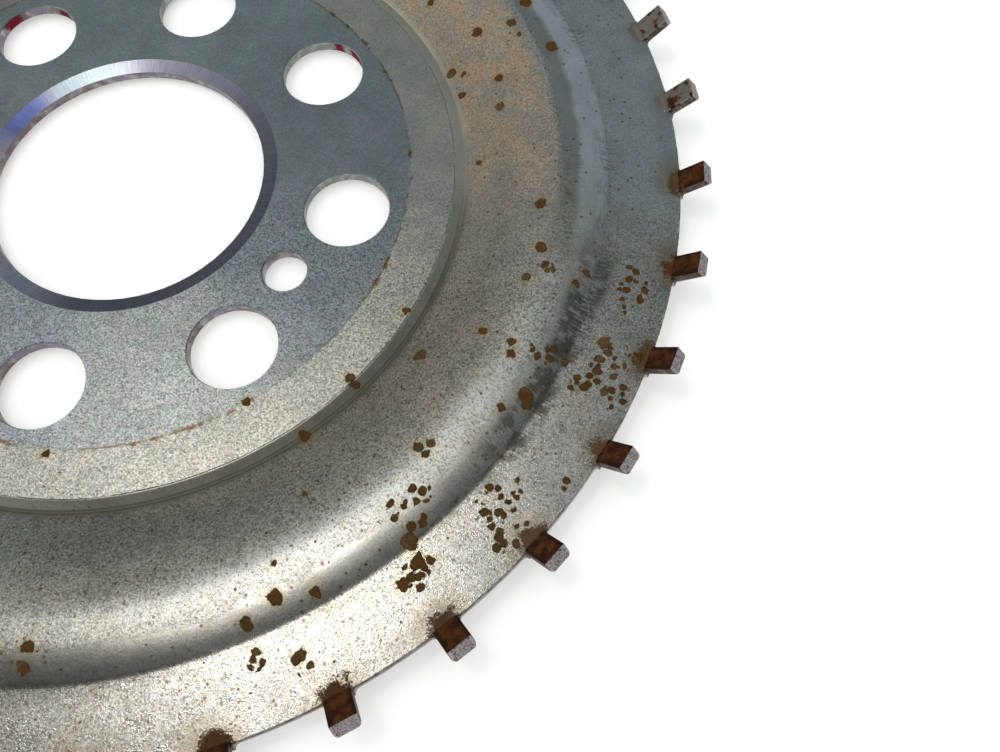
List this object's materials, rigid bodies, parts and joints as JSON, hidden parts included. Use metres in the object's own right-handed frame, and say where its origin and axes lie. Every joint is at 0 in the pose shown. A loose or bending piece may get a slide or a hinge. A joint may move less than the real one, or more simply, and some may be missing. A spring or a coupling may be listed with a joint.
{
  "type": "toothed trigger disc",
  "caption": "Dished sheet steel trigger disc with a bevelled centring bore, a ring of bolt holes, a dowel hole and sensor teeth folded up round its rim.",
  "frame": {"origin": "on the bore's axis, in the plane of the hub's back face", "axes": "+Z along the bore's axis, towards the side that the teeth are folded to; +X through the centre of one bolt hole"},
  "size_m": [0.1514, 0.1514, 0.0072],
  "materials": {
    "zinc_plated_steel": "worn zinc plate on pressed steel, with rust spots and rusted teeth"
  },
  "bodies": {
    "root": {"trigger_disc": "zinc_plated_steel"}
  },
  "joints": []
}
